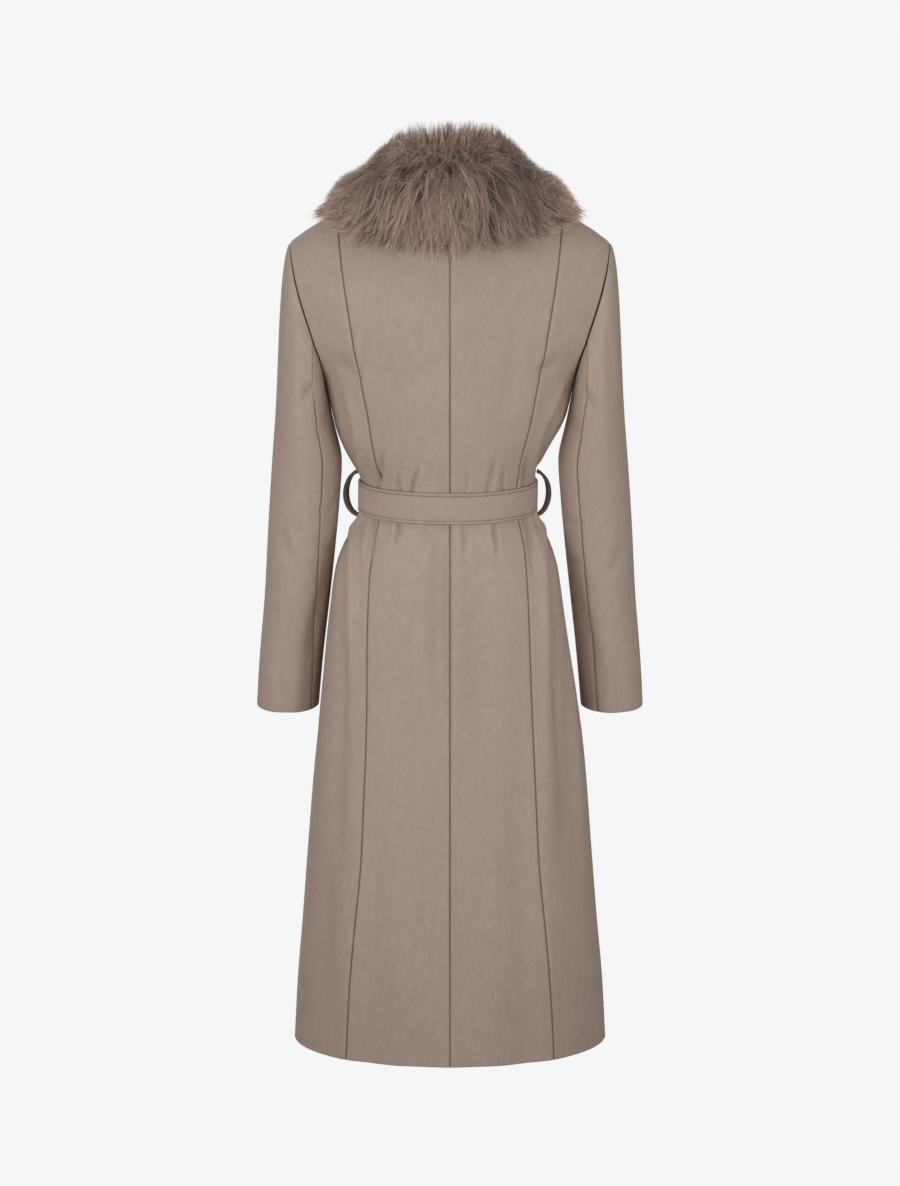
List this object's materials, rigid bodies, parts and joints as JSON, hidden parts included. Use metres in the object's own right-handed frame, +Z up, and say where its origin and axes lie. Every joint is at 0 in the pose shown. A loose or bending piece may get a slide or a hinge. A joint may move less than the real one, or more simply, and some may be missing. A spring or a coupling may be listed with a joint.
{
  "type": "fur-collar coat",
  "caption": "Long belted wool wrap coat with princess seams, two-piece sleeves and a deep fur shawl collar, filled out as if worn.",
  "frame": {"origin": "middle of the neck base, level with the neck points of the shoulder seams, where the wearer's shoulders hold the coat", "axes": "+Z up, +Y towards the coat's back, +X towards the wearer's left"},
  "size_m": [0.52, 0.2943, 1.2488],
  "materials": {
    "wool": "matt brushed wool felt, taupe",
    "fur": "long soft fur, brown-grey with lighter tips"
  },
  "bodies": {
    "root": {"back_centre_left": "wool", "back_centre_right": "wool", "back_side_left": "wool", "back_side_right": "wool", "front_left": "wool", "front_right": "wool", "sleeve_upper_left": "wool", "sleeve_upper_right": "wool", "sleeve_under_left": "wool", "sleeve_under_right": "wool", "belt": "wool", "belt_knot": "wool", "belt_tail_left": "wool", "belt_tail_right": "wool", "belt_loop_left": "wool", "belt_loop_right": "wool", "fur_collar": "fur"}
  },
  "joints": []
}
